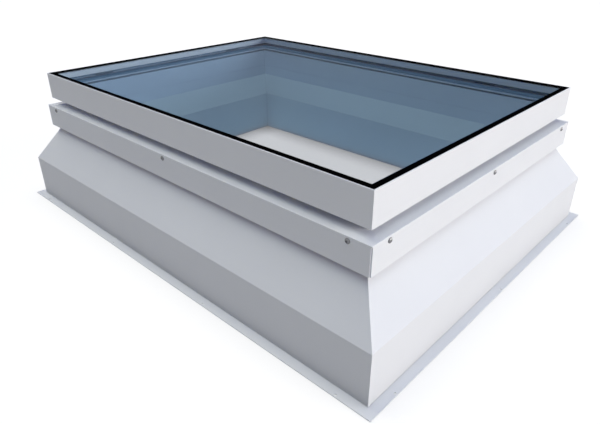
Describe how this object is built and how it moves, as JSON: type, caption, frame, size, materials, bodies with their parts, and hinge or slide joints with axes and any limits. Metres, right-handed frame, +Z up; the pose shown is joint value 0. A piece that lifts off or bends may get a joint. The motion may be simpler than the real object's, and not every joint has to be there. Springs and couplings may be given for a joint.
{
  "type": "roof skylight",
  "caption": "Flat glass roof skylight on an insulated sloped kerb with a foot flange; the glazed sash is hinged at the rear and pushed open from inside by a rod opener.",
  "frame": {"origin": "centre of the kerb's foot, at the underside of the flange", "axes": "+Z up, +X along the long sides, -Y the front, where the opener is; the hinges are at +Y"},
  "size_m": [1.34, 1.04, 0.3851],
  "materials": {
    "kerb_white": "smooth white resin skin",
    "frame_white": "white powder coat on aluminium",
    "sash_white": "white powder coat on aluminium",
    "core_foam": "rigid foam board",
    "batten_wood": "planed, treated",
    "foam_grey": "closed cell foam",
    "gasket_rubber": "matt",
    "tape_grey": "matt foam tape",
    "seal_black": "satin",
    "glass_blue": "clear, faint blue tint",
    "spacer_aluminium": "mill",
    "cleat_aluminium": "mill",
    "screw_steel": "stainless",
    "hinge_steel": "stainless",
    "opener_case": "light grey",
    "opener_tube_aluminium": "anodised",
    "rod_steel": "ground",
    "block_plastic": "matt"
  },
  "bodies": {
    "base": {"kerb_front": "kerb_white", "kerb_core_front": "core_foam", "batten_front": "batten_wood", "frame_front": "frame_white", "kerb_right": "kerb_white", "kerb_core_right": "core_foam", "batten_right": "batten_wood", "frame_right": "frame_white", "kerb_rear": "kerb_white", "kerb_core_rear": "core_foam", "batten_rear": "batten_wood", "frame_rear": "frame_white", "kerb_left": "kerb_white", "kerb_core_left": "core_foam", "batten_left": "batten_wood", "frame_left": "frame_white", "bedding_seal": "foam_grey", "frame_cleats": "cleat_aluminium", "skirt_screws": "screw_steel", "weather_gasket": "gasket_rubber", "hinge_frame_leaves": "hinge_steel", "opener_bracket": "hinge_steel"},
    "sash": {"sash_front": "sash_white", "sash_right": "sash_white", "sash_rear": "sash_white", "sash_left": "sash_white", "sash_cleats": "cleat_aluminium", "glazing_tape": "tape_grey", "inner_pane": "glass_blue", "outer_pane": "glass_blue", "spacer_bar": "spacer_aluminium", "edge_sealant": "seal_black", "edge_blocks": "block_plastic", "perimeter_seal": "seal_black", "hinge_sash_leaves": "hinge_steel", "sash_bracket": "hinge_steel", "eye_pin": "rod_steel", "bracket_rivets": "screw_steel"},
    "opener_housing": {"opener_head": "opener_case", "opener_tube": "opener_tube_aluminium", "opener_motor": "opener_case", "cable_gland": "block_plastic"},
    "opener_rod": {"push_rod": "rod_steel"}
  },
  "joints": [
    {"name": "sash_hinge", "type": "hinge", "parent": "base", "child": "sash", "pos_m": [0, 0.4445, 0.306], "axis": [-1, 0, 0], "range_deg": [0, 15]},
    {"name": "housing_tilt", "type": "hinge", "parent": "base", "child": "opener_housing", "pos_m": [0, -0.361, 0.262], "axis": [-1, 0, 0], "range_deg": [0, 7]},
    {"name": "rod_slide", "type": "slide", "parent": "opener_housing", "child": "opener_rod", "axis": [0, 0, 1], "range_m": [0, 0.21]}
  ],
  "couplings": [
    {"joint": "housing_tilt", "follows": "sash_hinge", "ratio": 0.431},
    {"joint": "rod_slide", "follows": "sash_hinge", "m_per_rad": 0.802}
  ]
}
